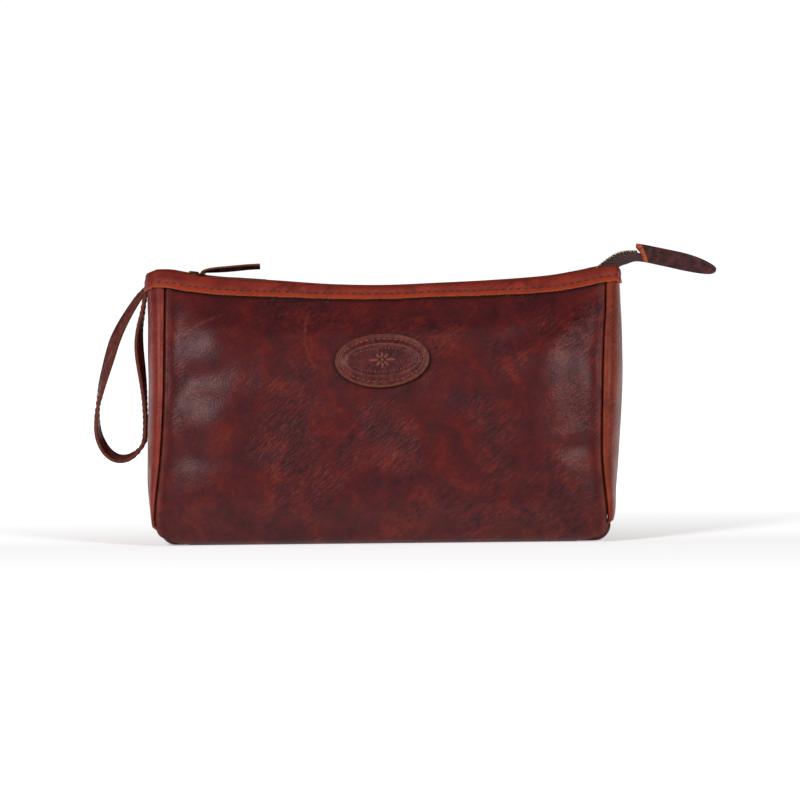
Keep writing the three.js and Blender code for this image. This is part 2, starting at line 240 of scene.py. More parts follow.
TURN_START, TURN_END = 0.72, 0.9  # where across a gusset half its turned edge begins and ends


def gusset(end, across, up, lift=0.0):
    """A point of the left (end -1) or right (end 1) gusset. across is -1 at the front seam, 1 at the back."""
    depth, height = PROFILE.at(up)
    side = -1 if across < 0 else 1
    share = abs(across)
    seam = SEAM[end](height) + 0.25
    reach = BELLY[end](height) - seam
    edge = depth - 0.9
    if share < TURN_START:
        angle = share / TURN_START * math.pi / 2
        out = SEAM_ROLL + (reach - SEAM_ROLL) * math.cos(angle) ** 0.8 + lift * math.cos(angle)
        y = edge * math.sin(angle) + lift * math.sin(angle)
    elif share < TURN_END:
        angle = (share - TURN_START) / (TURN_END - TURN_START) * math.pi / 2
        out = SEAM_ROLL * (1 - math.sin(angle))
        y = edge + lift - SEAM_ROLL * (1 - math.cos(angle))
    else:
        out = 0.0
        y = edge + lift - SEAM_ROLL - TUCK * (share - TURN_END) / (1 - TURN_END)
    sag = 0.5 * noise.noise(Vector((side * 3, height / 24, 11 * end))) * math.cos(share * math.pi / 2)
    short = max(0.0, SEAM_ROLL - (up - GUSSET_FOOT))
    out -= SEAM_ROLL - math.sqrt(max(SEAM_ROLL**2 - short**2, 0.0))
    x = end * (seam + out + sag)
    return Vector((x, side * y, height + rim_rise(x) * (height / RIM) ** 2))


# ---------------------------------------------------------------- making and finishing pieces
def grid(across, up, place, size=(1.0, 1.0)):
    """A grid of faces whose point (u, v) goes to place(u, v). size in millimetres gives its UV map."""
    bm = bmesh.new()
    bmesh.ops.create_grid(bm, x_segments=across, y_segments=up, size=0.5)
    layer = bm.loops.layers.uv.new("Surface")
    for face in bm.faces:
        for loop in face.loops:
            u, v = loop.vert.co.x + 0.5, loop.vert.co.y + 0.5
            loop[layer].uv = (u * size[0] * MM, v * size[1] * MM)
    for vert in bm.verts:
        vert.co = place(vert.co.x + 0.5, vert.co.y + 0.5)
    return bm


def finish(name, bm, materials, replaces=(), modifiers=(), merge=None):
    """Makes a piece of a bmesh in millimetres, with its modifiers given as (kind, settings)."""
    if merge:
        bmesh.ops.remove_doubles(bm, verts=bm.verts, dist=merge)
    mesh = bpy.data.meshes.new(name)
    bm.to_mesh(mesh)
    bm.free()
    mesh.transform(Matrix.Scale(MM, 4))
    mesh.shade_smooth()
    for material in materials:
        mesh.materials.append(material)
    piece = bpy.data.objects.new(name, mesh)
    bpy.context.scene.collection.objects.link(piece)
    for kind, settings in modifiers:
        modifier = piece.modifiers.new(kind.title(), kind)
        for key, value in settings.items():
            setattr(modifier, key, value)
    if replaces:
        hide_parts(*replaces)
    return piece


def thick(amount, offset=-1.0, rim=0, back=0):
    """The modifier that gives a sheet its thickness, in millimetres."""
    return (
        "SOLIDIFY",
        {
            "thickness": amount * MM, "offset": offset, "material_offset_rim": rim,
            "material_offset": back, "use_even_offset": False,
        },
    )


def rounded(width, segments=2, angle=40):
    return (
        "BEVEL",
        {"width": width * MM, "segments": segments, "limit_method": "ANGLE",
         "angle_limit": math.radians(angle)},
    )


def frame_matrix(centre, along, out, sizes):
    """A turn and stretch that takes +X to along and +Z to out, with a centre."""
    x = Vector(along).normalized()
    z = Vector(out)
    z = (z - x * z.dot(x)).normalized()
    y = z.cross(x)
    turn = Matrix((x, y, z)).transposed().to_4x4()
    return Matrix.Translation(centre) @ turn @ Matrix.Diagonal((*sizes, 1))


def stitch(bm, centre, along, out, length=2.6, width=0.7, height=0.5):
    """One stitch: a short swelling of thread that dips into the leather at both ends."""
    turned = frame_matrix(centre, along, out, (length / 2, width / 2, height))
    bmesh.ops.create_uvsphere(bm, u_segments=8, v_segments=4, radius=1, matrix=turned)


# ---------------------------------------------------------------- materials
def linear(code):
    """An sRGB hex colour as linear red, green, blue and alpha."""
    parts = [int(code[i : i + 2], 16) / 255 for i in (1, 3, 5)]
    return [c / 12.92 if c <= 0.04045 else ((c + 0.055) / 1.055) ** 2.4 for c in parts] + [1.0]


def per(millimetres):
    """A texture's scale from the real size of one repeat."""
    return 1 / (millimetres * MM)


def add_node(tree, kind, settings=None, inputs=None):
    made = tree.nodes.new(kind)
    for key, value in (settings or {}).items():
        setattr(made, key, value)
    for key, value in (inputs or {}).items():
        if isinstance(value, bpy.types.NodeSocket):
            tree.links.new(value, made.inputs[key])
        else:
            made.inputs[key].default_value = value
    return made


def new_material(name):
    material = bpy.data.materials.new(name)
    material.use_nodes = True
    tree = material.node_tree
    shader = tree.nodes["Principled BSDF"]
    return material, tree, shader


def set_ramp(node, stops):
    """A colour ramp's stops, as (place, hex colour)."""
    elements = node.color_ramp.elements
    while len(elements) < len(stops):
        elements.new(0.5)
    for element, (place, code) in zip(elements, stops):
        element.position = place
        element.color = linear(code)


def leather(name, stops, worn, roughness=(0.36, 0.46), grain=0.9, wrinkle=0.10, mottle=26):
    """Pull-up leather, tanned and waxed: mottled colour, fine grain, soft shine, paler rubbed ridges (on the
    badge partly painted highlight) and painted shade where a piece stores it.
    """
    material, tree, shader = new_material(name)
    place = add_node(tree, "ShaderNodeTexCoord").outputs["Object"]
    clouds = add_node(
        tree, "ShaderNodeTexNoise",
        inputs={"Vector": place, "Scale": per(mottle), "Detail": 6, "Roughness": 0.62, "Distortion": 0.5},
    )
    specks = add_node(tree, "ShaderNodeTexNoise", inputs={"Vector": place, "Scale": per(2.2), "Detail": 3})
    mixed = add_node(
        tree, "ShaderNodeMath", {"operation": "MULTIPLY_ADD"},
        {0: specks.outputs["Fac"], 1: 0.22, 2: clouds.outputs["Fac"]},
    )
    # creases run slanting over the hide; the mapping stretches them to several times their width
    slanted = add_node(
        tree, "ShaderNodeMapping", {"vector_type": "TEXTURE"},
        {"Vector": place, "Rotation": (0, math.radians(-38), 0), "Scale": (2.6, 1, 0.7)},
    )
    creases = add_node(
        tree,
        "ShaderNodeTexNoise",
        inputs={"Vector": slanted.outputs[0], "Scale": per(2.1), "Detail": 3,
                "Roughness": 0.55, "Distortion": 0.5},
    )
    patches = add_node(tree, "ShaderNodeTexNoise", inputs={"Vector": place, "Scale": per(34), "Detail": 1})
    patchy = add_node(
        tree, "ShaderNodeMapRange", inputs={"Value": patches.outputs["Fac"], 1: 0.46, 2: 0.6, 3: 0.15, 4: 1.0}
    )
    rise = add_node(tree, "ShaderNodeMath", {"operation": "SUBTRACT"}, {0: creases.outputs["Fac"], 1: 0.5})
    tinted = add_node(
        tree, "ShaderNodeMath", {"operation": "MULTIPLY"}, {0: rise.outputs[0], 1: patchy.outputs[0]}
    )
    shaded = add_node(
        tree, "ShaderNodeMath", {"operation": "MULTIPLY_ADD"},
        {0: tinted.outputs[0], 1: 0.8, 2: mixed.outputs[0]},
    )
    ramp = add_node(tree, "ShaderNodeValToRGB", inputs={"Fac": shaded.outputs[0]})
    set_ramp(ramp, stops)
    wear = add_node(tree, "ShaderNodeAttribute", {"attribute_name": "wear"})
    # paler where 'wear' is high: rubbed wear, and on the badge partly painted highlight
    rubbed = add_node(
        tree, "ShaderNodeMix", {"data_type": "RGBA"},
        {0: wear.outputs["Fac"], 6: ramp.outputs["Color"], 7: linear(worn)},
    )
    # painted shade: darkens the colour towards near black where a piece stores a 'shade' value
    shade = add_node(tree, "ShaderNodeAttribute", {"attribute_name": "shade"})
    darkened = add_node(
        tree, "ShaderNodeMix", {"data_type": "RGBA"},
        {0: shade.outputs["Fac"], 6: rubbed.outputs[2], 7: linear("#120505")},
    )
    tree.links.new(darkened.outputs[2], shader.inputs["Base Color"])

    shine = add_node(
        tree, "ShaderNodeMapRange",
        inputs={"Value": clouds.outputs["Fac"], 1: 0.3, 2: 0.7, 3: roughness[1], 4: roughness[0]},
    )
    tree.links.new(shine.outputs[0], shader.inputs["Roughness"])
    shader.inputs["IOR"].default_value = 1.42
    shader.inputs["Specular IOR Level"].default_value = 0.27

    pores = add_node(
        tree, "ShaderNodeTexVoronoi", {"feature": "SMOOTH_F1"},
        {"Vector": place, "Scale": per(grain), "Smoothness": 0.6},
    )
    first = add_node(
        tree,
        "ShaderNodeBump",
        inputs={"Height": creases.outputs["Fac"], "Distance": wrinkle * 6 * MM,
                "Strength": patchy.outputs[0]},
    )
    second = add_node(
        tree,
        "ShaderNodeBump",
        inputs={
            "Height": pores.outputs["Distance"], "Distance": wrinkle * 1.6 * MM, "Strength": 0.6,
            "Normal": first.outputs[0],
        },
    )
    tree.links.new(second.outputs[0], shader.inputs["Normal"])
    return material


def raw_edge(name, stops):
    """Cut leather: the fibrous, matt core that shows where a hide is cut."""
    material, tree, shader = new_material(name)
    place = add_node(tree, "ShaderNodeTexCoord").outputs["Object"]
    fibres = add_node(
        tree, "ShaderNodeTexNoise", inputs={"Vector": place, "Scale": per(1.4), "Detail": 5, "Roughness": 0.7}
    )
    ramp = add_node(tree, "ShaderNodeValToRGB", inputs={"Fac": fibres.outputs["Fac"]})
    set_ramp(ramp, stops)
    tree.links.new(ramp.outputs["Color"], shader.inputs["Base Color"])
    shader.inputs["Roughness"].default_value = 0.85
    fuzz = add_node(
        tree, "ShaderNodeBump",
        inputs={"Height": fibres.outputs["Fac"], "Distance": 0.25 * MM, "Strength": 0.8},
    )
    tree.links.new(fuzz.outputs[0], shader.inputs["Normal"])
    return material


def woven(name, dark, light, thread, herringbone=False, roughness=0.85):
    """Cloth woven from yarn of the given thickness, on the piece's own UV map. Herringbone turns the ribs."""
    material, tree, shader = new_material(name)
    uv = add_node(tree, "ShaderNodeTexCoord").outputs["UV"]
    turn = math.radians(45 if herringbone else 0)
    turned = add_node(tree, "ShaderNodeMapping", inputs={"Vector": uv, "Rotation": (0, 0, turn)})
    ribs = add_node(
        tree, "ShaderNodeTexWave", {"bands_direction": "X", "wave_profile": "SIN"},
        {"Vector": turned.outputs[0], "Scale": per(thread) / 20 * math.pi, "Distortion": 0.3, "Detail": 1},
    )
    crossing = add_node(
        tree, "ShaderNodeTexWave", {"bands_direction": "Y", "wave_profile": "SIN"},
        {"Vector": turned.outputs[0], "Scale": per(thread) / 20 * math.pi, "Distortion": 0.3, "Detail": 1},
    )
    both = add_node(
        tree, "ShaderNodeMath", {"operation": "MULTIPLY"},
        {0: ribs.outputs["Fac"], 1: crossing.outputs["Fac"]},
    )
    ramp = add_node(tree, "ShaderNodeValToRGB", inputs={"Fac": both.outputs[0]})
    set_ramp(ramp, [(0.0, dark), (0.8, light)])
    tree.links.new(ramp.outputs["Color"], shader.inputs["Base Color"])
    shader.inputs["Roughness"].default_value = roughness
    shader.inputs["Sheen Weight"].default_value = 0.15
    relief_node = add_node(
        tree, "ShaderNodeBump", inputs={"Height": both.outputs[0], "Distance": 0.15 * MM, "Strength": 0.8}
    )
    tree.links.new(relief_node.outputs[0], shader.inputs["Normal"])
    return material


def thread_material(name, dark, light):
    """Waxed linen thread: a twist of plies with a dull shine."""
    material, tree, shader = new_material(name)
    place = add_node(tree, "ShaderNodeTexCoord").outputs["Object"]
    plies = add_node(
        tree, "ShaderNodeTexNoise",
        inputs={"Vector": place, "Scale": per(0.8), "Detail": 2, "Distortion": 1.0},
    )
    ramp = add_node(tree, "ShaderNodeValToRGB", inputs={"Fac": plies.outputs["Fac"]})
    set_ramp(ramp, [(0.35, dark), (0.65, light)])
    tree.links.new(ramp.outputs["Color"], shader.inputs["Base Color"])
    shader.inputs["Roughness"].default_value = 0.6
    return material


def brass(name, colour, dull):
    """Cast brass with a satin, slightly tarnished surface."""
    material, tree, shader = new_material(name)
    place = add_node(tree, "ShaderNodeTexCoord").outputs["Object"]
    tarnish = add_node(tree, "ShaderNodeTexNoise", inputs={"Vector": place, "Scale": per(3), "Detail": 4})
    ramp = add_node(tree, "ShaderNodeValToRGB", inputs={"Fac": tarnish.outputs["Fac"]})
    set_ramp(ramp, [(0.38, dull), (0.62, colour)])
    tree.links.new(ramp.outputs["Color"], shader.inputs["Base Color"])
    shader.inputs["Metallic"].default_value = 1.0
    shine = add_node(
        tree, "ShaderNodeMapRange", inputs={"Value": tarnish.outputs["Fac"], 1: 0.3, 2: 0.7, 3: 0.45, 4: 0.26}
    )
    tree.links.new(shine.outputs[0], shader.inputs["Roughness"])
    return material


BODY = leather(
    "oxblood pull-up leather",
    [(0.4, "#330e12"), (0.54, "#441316"), (0.66, "#4f1617"), (0.84, "#652016")], "#843b2c", mottle=14,
)
GUSSET_LEFT = leather(
    "red-brown pull-up leather", [(0.38, "#571817"), (0.55, "#70231e"), (0.8, "#853024")], "#994c37",
    roughness=(0.38, 0.46),
)
GUSSET_RIGHT = leather(
    "chestnut pull-up leather", [(0.38, "#531811"), (0.55, "#692415"), (0.8, "#80321a")], "#8f3d20",
    roughness=(0.4, 0.5),
)
BINDING = leather(
    "tan binding leather", [(0.36, "#5b160f"), (0.56, "#722116"), (0.8, "#882e1b")], "#993416",
    roughness=(0.5, 0.66), grain=0.7, mottle=14,
)
STRAP = leather(
    "dark brown strap leather",
    [(0.4, "#271314"), (0.6, "#3e1e1e"), (0.75, "#552728"), (0.86, "#76352d")], "#894a3a",
    roughness=(0.38, 0.5), grain=0.8, wrinkle=0.05, mottle=5,
)
WRIST = leather(
    "plum strap leather", [(0.4, "#3a1817"), (0.58, "#582622"), (0.72, "#6d342d"), (0.86, "#8a4434")],
    "#9a5240", roughness=(0.4, 0.52), grain=0.8, wrinkle=0.05, mottle=5,
)
RUST_EDGE = raw_edge("dyed rust edge", [(0.35, "#4a1f14"), (0.65, "#7d351f")])
FLESH = raw_edge("flesh side of leather", [(0.35, "#6a3018"), (0.65, "#93492a")])
CUT = raw_edge("cut edge of leather", [(0.35, "#84341a"), (0.65, "#b4552c")])
CUT_DARK = raw_edge("dark cut edge of leather", [(0.35, "#4a2016"), (0.65, "#7b3a22")])
LINING = woven("brown cotton lining", "#2a1d17", "#4a362b", 0.7)
TAPE = woven("plum herringbone zip tape", "#2a1413", "#4f2e2a", 1.1, herringbone=True)
THREAD_DARK = thread_material("dark waxed thread", "#1c100d", "#35211b")
THREAD_TAN = thread_material("rust waxed thread", "#6b2616", "#a8482a")
BRASS = brass("aged brass", "#a8906a", "#6e5a3c")
DARK_BRASS = brass("antique brass", "#7a6038", "#4a3a24")


# ---------------------------------------------------------------- front and back walls
def shortened(up):
    """How much shorter the wall is at each end where it rolls under."""
    return 15 * (1 - smooth(up, 0, 14)) ** 1.6


def wall_place(side, u, up):
    """A point of a wall with both ends turned in. u runs from 0 to 1, left to right seen from outside."""
    height = PROFILE.at(up)[1]
    left = -SEAM[-1](height) + shortened(up)
    right = SEAM[1](height) - shortened(up)
    turned = 0.035  # share of the grid's columns in each turned edge
    across = u if side < 0 else 1 - u
    near_end = min(across, 1 - across)
    if near_end >= turned:
        share = (across - turned) / (1 - 2 * turned)
        return wall(side, lerp(left + SEAM_ROLL, right - SEAM_ROLL, share), up)
    angle = (turned - near_end) / turned * math.pi / 2 * 1.6
    quarter = min(angle, math.pi / 2)
    beyond = max(angle - math.pi / 2, 0) / (math.pi / 2 * 0.6)
    out = SEAM_ROLL * math.sin(quarter)
    lift = -SEAM_ROLL * (1 - math.cos(quarter)) - TUCK * beyond
    edge = left + SEAM_ROLL - out if across < 0.5 else right - SEAM_ROLL + out
    return wall(side, edge, up, lift)


def store_wear_and_shade(piece, worth, name="wear"):
    """A value from 0 to 1 at each point, for the leather: how rubbed it is under 'wear' (on the badge partly
    painted highlight), and how much painted shade it has under 'shade'.
    """
    layer = piece.data.attributes.new(name, "FLOAT", "POINT")
    values = [worth(v.co / MM) for v in piece.data.vertices]
    layer.data.foreach_set("value", values)


# Lines rubbed or scratched pale on the front, in X and Z, with their strength.
FRONT_LINES = [
    (Line([(-118.5, 112.5), (-110, 117.5), (-100, 122.5), (-90, 126.5)]), 0.75),
    (Line([(-42, 127), (-43.8, 119), (-43.6, 110), (-41, 101), (-36.5, 96.5)]), 0.8),
    (Line([(-107, 77), (-99, 81), (-91, 84)]), 0.45), (Line([(-34, 90), (-27, 78), (-24, 70)]), 0.3),
    (Line([(-31, 52), (-23, 60), (-19, 64)]), 0.35), (Line([(10, 91), (20, 99), (30, 104)]), 0.3),
    (Line([(78, 58), (95, 62), (117, 69)]), 0.35),
]


def wall_wear(side, point):
    near = min(point.x + SEAM[-1](point.z), SEAM[1](point.z) - point.x)
    ragged = 0.6 + 0.8 * noise.noise(point / 7)
    worth = 0.6 * math.exp(-(((near - 1.2) / 1.3) ** 2)) * ragged
    if side < 0:
        here = np.array([point.x, point.z])
        for line, strength in FRONT_LINES:
            if np.abs(line.rows[0] - here).max() < 60:
                gap = np.linalg.norm(line.rows - here, axis=1).min()
                worth += 0.6 * strength * math.exp(-((gap / 0.6) ** 2)) * (0.6 + 0.9 * noise.noise(point / 3))
    return min(max(worth, 0.0), 1.0)


@lru_cache(maxsize=None)
def binding_edge():
    """The binding's lower edge over a wall: its X and Z, from left to right."""
    rows = []
    for i in range(241):
        distance = i / 240 * RIM_LINE.length
        point, _, down, _ = rim_frame(distance)
        edge = point + down * binding_depth(distance)
        if abs(point.x) < 126 and (not rows or edge.x > rows[-1][0]):
            rows.append((edge.x, edge.z))
    return np.array(rows)


def wall_painted_shade(side, point):
    """Painted shade: a shadow under the binding, shade in the side seams' grooves, and a shadow round the
    badge, heaviest at its lower right.
    """
    edge = binding_edge()
    below = np.interp(point.x, edge[:, 0], edge[:, 1]) - point.z
    near = min(point.x + SEAM[-1](point.z), SEAM[1](point.z) - point.x)
    shade = 0.9 * math.exp(-((max(below, 0.0) / 1.3) ** 2)) + 0.7 * math.exp(-((max(near, 0.0) / 0.9) ** 2))
    if side < 0:
        # painted shadow round the badge, heavier towards its lower right
        a, c = badge_offset(point)
        share = math.hypot(a / BADGE_HALF[0], c / BADGE_HALF[1])
        lower = 0.6 + 0.4 * math.sin(math.atan2(-c, a) + 0.4)
        shade += 0.8 * lower * math.exp(-((max(share - 1, 0) * 20 / 1.7) ** 2))
    return min(max(shade, 0.0), 1.0)


WALL_COLUMNS, WALL_ROWS = 230, 150


def make_wall(side, name):
    bm = grid(WALL_COLUMNS, WALL_ROWS, lambda u, v: wall_place(side, u, v * WALL_TOP), (246, WALL_TOP))
    piece = finish(
        f"{name}_leather", bm, [BODY, CUT_DARK, FLESH], [f"{name}_panel"],
        [thick(LEATHER, rim=1, back=2)],
    )
    store_wear_and_shade(piece, lambda point: wall_wear(side, point))
    # painted shade: a shadow under the binding, shade in the side seams and a shadow round the badge
    store_wear_and_shade(piece, lambda point: wall_painted_shade(side, point), "shade")
    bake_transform(piece)


# ---------------------------------------------------------------- gussets
def make_gusset(end, side, material):
    """Half of a gusset, from its middle line to its seam, so that it can follow the wall it is sewn to."""
    name = ("left" if end < 0 else "right") + ("_front" if side < 0 else "_back")
    flip = end * side < 0

    def place(u, v):
        across = side * (1 - u if flip else u)
        return gusset(end, across, lerp(GUSSET_FOOT, WALL_TOP, v))

    piece = finish(
        f"gusset_{name}", grid(36, 110, place, (50, 132)), [material, CUT, FLESH],
        [f"gusset_{'left' if end < 0 else 'right'}"], [thick(LEATHER, rim=1, back=2)],
    )
    store_wear_and_shade(
        piece,
        lambda p: max(
            0, 0.7 * math.exp(-(((abs(p.x) - SEAM[end](p.z) - 1.3) / 0.9) ** 2)) * (0.5 + noise.noise(p / 9))
        ),
    )
    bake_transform(piece)


# ---------------------------------------------------------------- base
BASE_HALF_DEPTH = 41.0
BASE_END_RADIUS = 9.0


BASE_END = {-1: 125.2, 1: 123.6}  # how far its two ends reach along the bag


def base_place(u, v):
    """The base's underside, raised and rounded at both ends, its long edges turned up."""
    end_left, end_right = -BASE_END[-1], BASE_END[1]
    depth = lerp(-BASE_HALF_DEPTH, BASE_HALF_DEPTH, v)
    quarter = BASE_END_RADIUS * math.pi / 2
    flat = end_right - end_left - 2 * BASE_END_RADIUS
    run = u * (flat + 2 * quarter)
    near_edge = max(0.0, abs(depth) - (BASE_HALF_DEPTH - SEAM_ROLL))
    turn = SEAM_ROLL - math.sqrt(max(SEAM_ROLL**2 - near_edge**2, 0.0))
    radius = BASE_END_RADIUS - turn
    if run < quarter:
        a = run / BASE_END_RADIUS
        x = end_left + BASE_END_RADIUS - radius * math.cos(a)
        z = BASE_END_RADIUS - radius * math.sin(a)
    elif run > quarter + flat:
        a = (run - quarter - flat) / BASE_END_RADIUS
        x = end_right - BASE_END_RADIUS + radius * math.sin(a)
        z = BASE_END_RADIUS - radius * math.cos(a)
    else:
        x = end_left + BASE_END_RADIUS + run - quarter
        z = turn
    return Vector((x, depth, z))


def make_base():
    bm = grid(120, 40, lambda u, v: base_place(u, 1 - v), (270, 82))
    piece = finish(
        "base_leather", bm, [BODY, CUT_DARK, FLESH], ["base_panel"],
        [thick(LEATHER, rim=1, back=2)],
    )
    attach(piece, "shell")


ALLOWANCE_SPAN = (2.8, 18)  # from its lower edge to its upper one, above the floor


def make_seam_allowances():
    """The gussets' lower edges, turned in and sewn down inside the base's raised ends."""
    for end, name, material in ((-1, "left", GUSSET_LEFT), (1, "right", GUSSET_RIGHT)):
        x = BASE_END[end] - LEATHER - 0.9

        def place(u, v, end=end, x=x):
            z = lerp(*ALLOWANCE_SPAN, v)
            short = max(0.0, FOOT_RADIUS - z)
            half = FOOT_DEPTH - LEATHER - 0.6 - FOOT_RADIUS + math.sqrt(FOOT_RADIUS**2 - short**2)
            return Vector((end * x, lerp(-half, half, u if end > 0 else 1 - u), z))

        piece = finish(
            f"seam_allowance_{name}", grid(30, 8, place, (80, 15)), [material], [],
            [thick(1.2, offset=0)],
        )
        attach(piece, "shell")


# ---------------------------------------------------------------- linings
LINING_INSET = 2.5


def make_linings():
    for side, name in ((-1, "front"), (1, "back")):

        def place(u, v, side=side):
            x = lerp(-117.5, 117.5, u if side < 0 else 1 - u)
            return wall(side, x, lerp(12, TOP - 10, v), -LEATHER - LINING_INSET + 2)

        lining = finish(
            f"lining_{name}_cloth", grid(60, 40, place, (235, 135)), [LINING],
            [f"lining_{name}"], [thick(0.5)],
        )
        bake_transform(lining)
        for end, end_name in ((-1, "left"), (1, "right")):
            flip = end * side < 0

            def place_end(u, v, end=end, side=side, flip=flip):
                across = side * 0.66 * (1 - u if flip else u)
                return gusset(end, across, lerp(16, TOP - 10, v), -LEATHER - LINING_INSET + 2)

            half = finish(
                f"lining_{end_name}_{name}", grid(14, 40, place_end, (46, 130)), [LINING],
                [f"lining_{end_name}"], [thick(0.5)],
            )
            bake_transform(half)
    low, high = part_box("lining_base")

    def floor_place(u, v):
        return Vector((lerp(low.x, high.x, u), lerp(low.y, high.y, v), high.z)) / MM

    floor_lining = finish(
        "lining_base_cloth",
        grid(40, 16, floor_place, (224, 73)),
        [LINING], ["lining_base"], [thick(0.5)],
    )
    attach(floor_lining, "shell")


# ---------------------------------------------------------------- the binding round the rim
GUSSET_STOPS = (0, 0.16, 0.32, 0.46, 0.58)
RIM_LINE = Line(
    [gusset(-1, -a, TOP) for a in GUSSET_STOPS]
    + [wall(-1, x, TOP) for x in (-119, -108, -90, -60, -30, 0, 30, 60, 90, 108, 119)]
    + [gusset(1, -a, TOP) for a in reversed(GUSSET_STOPS)]
)

BINDING_CENTRE = 1.75  # from the leather's mid plane to the binding's
BINDING_TOP = 2.3
BINDING_DEPTH = 7.3  # how far it comes down outside, before binding_depth adds to it
STITCH_UP = 3.1  # from the binding's lower edge up to its stitches


def rim_frame(distance):
    """A point of the front rim with its way out and its way down."""
    point = Vector(RIM_LINE.at(distance))
    heading = Vector(RIM_LINE.heading(distance))
    flat = Vector((heading.x, heading.y, 0)).normalized()
    sideways = Vector((flat.y, -flat.x, 0))
    lean = math.radians(lerp(3, 30, abs(sideways.y) ** 1.5))
    up = heading.cross(sideways).normalized()
    if up.z < 0:
        up = -up
    down = sideways * math.sin(lean) - up * math.cos(lean)
    out = sideways * math.cos(lean) + up * math.sin(lean)
    return point, out, down, heading


# How much deeper it is cut towards the left, by distance along the bag.
BINDING_EXTRA = curve([(-132, 1.4), (-75, 1.7), (0, 1.3), (60, 0.9), (110, 0.5), (132, 0.0)])


def binding_depth(distance):
    """How far the binding comes down outside, a little uneven, as it was cut by hand."""
    extra = BINDING_EXTRA(rim_frame(distance)[0].x)
    off_middle = abs(distance / RIM_LINE.length - 0.5)
    deep = extra + BINDING_DEPTH + 2.5 * smooth(off_middle, 0.04, 0.4) - 0.4 * smooth(off_middle, 0.42, 0.5)
    return deep + 0.3 * noise.noise(Vector((distance / 9, 0, 0)))


def binding_section(v, deep):
    """Across the strip: out from the leather's mid plane, and down from the rim's top."""
    legs = 0.42
    if v < legs:
        t = v / legs
        down = lerp(deep, BINDING_TOP, t)
        press = 0.3 * math.exp(-(((down - deep + STITCH_UP) / 0.9) ** 2))
        swell = 0.3 * math.exp(-(((down - deep + STITCH_UP + 2.4) / 1.6) ** 2))
        return BINDING_CENTRE - press + swell, down
    if v > 1 - legs:
        return -BINDING_CENTRE, lerp(7.5, BINDING_TOP, (1 - v) / legs)
    angle = (v - legs) / (1 - 2 * legs) * math.pi
    return BINDING_CENTRE * math.cos(angle), BINDING_TOP - BINDING_CENTRE * math.sin(angle)


def binding_place(side, u, v):
    distance = (u if side < 0 else 1 - u) * RIM_LINE.length
    point, out, down, _ = rim_frame(distance)
    outward, drop = binding_section(v, binding_depth(distance))
    near_end = min(distance, RIM_LINE.length - distance)
    flare = (0.9 if point.x < 0 else 0.4) * (1 - smooth(near_end, 0, 6)) * smooth(drop, 4, 10)
    flare = flare if outward > 0 else 0
    place = point + out * (outward + flare - LEATHER / 2) + down * drop
    return Vector((place.x, place.y * -side, place.z))


def make_binding(side, name):
    bm = grid(300, 26, lambda u, v: binding_place(side, u, v), (RIM_LINE.length, 24))
    layer = bm.verts.layers.float.new("wear")
    for i, vert in enumerate(bm.verts):
        row = (i // 301) / 26
        below = 1 - smooth(row, 0.12, 0.19)
        edge = math.exp(-((row / 0.03) ** 2))
        vert[layer] = min(1.0, max(0.0, (0.75 * below + 0.4 * edge) * (0.8 + 0.6 * noise.noise(vert.co / 6))))
    piece = finish(
        f"binding_{name}_leather", bm, [BINDING, CUT],
        [f"binding_{name}", "binding_left", "binding_right"],
        [thick(1.2, offset=0, rim=1), rounded(0.25, 1, 60)],
    )
    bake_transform(piece)

    bm = bmesh.new()
    count = int(RIM_LINE.length / STITCH_PITCH)
    for i in range(count):
        distance = (i + 0.5) * RIM_LINE.length / count
        point, out, down, heading = rim_frame(distance)
        deep = binding_depth(distance)
        outward = BINDING_CENTRE - 0.28 + 0.6 - LEATHER / 2
        centre = point + out * outward + down * (deep - STITCH_UP)
        stitch(bm, mirrored(centre, side), mirrored(heading, side), mirrored(out, side), 2.7, 0.95, 0.4)
    bmesh.ops.recalc_face_normals(bm, faces=bm.faces)
    thread = finish(f"binding_{name}_stitches", bm, [THREAD_DARK])
    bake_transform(thread)


def mirrored(vector, side):
    return Vector((vector.x, vector.y * -side, vector.z))


# ---------------------------------------------------------------- the zip
def chain_height(x):
    return RIM - CHAIN_DROP + RIM_RADIUS - math.sqrt(RIM_RADIUS**2 - x * x)


# The chain's line: along the arc under the rim, then up and out of the right end to the tab.
CHAIN = Line(
    [(x, chain_height(x)) for x in (-118.5, -90, -60, -30, 0, 30, 60, 85, 100)]
    + [(109, 145.0), (114.5, 146.6), (118.5, 148.6), (122, 151.2), (126, 154.2), (130, 156.5), (134.5, 157.7)]
    + [(140, 157.9), (147, 157.0)]
)
SPLIT = 118.0  # where the rim's tapes end and the tail's begin
TAPE_WIDTH = 10.3


def split_distance():
    return float(np.interp(SPLIT, CHAIN.rows[:, 0], CHAIN.along))


def tape_place(side, distance, across):
    """Across runs from the chain (0) to the tape's outer edge (1). Past the rim it folds down like a roof."""
    x, z = CHAIN.at(distance)
    run, rise = CHAIN.heading(distance)
    fold = smooth(x, 100, 121)
    angle = math.radians(lerp(7, 76, fold))
    width = lerp(TAPE_WIDTH, 6.8, fold) * (1 - 0.42 * smooth(x, 133, 147))
    inner = lerp(2.7, 1.7, fold) * (1 - 0.5 * smooth(x, 133, 142))
    sideways = inner + width * across * math.cos(angle) * (1 - 0.6 * smooth(x, 133, 142))
    drop = width * across * math.sin(angle) - lerp(0, 0.3, fold) + 1.2 * smooth(x, 138, 147)
    return Vector((x + rise * drop, side * sideways, z - run * drop))


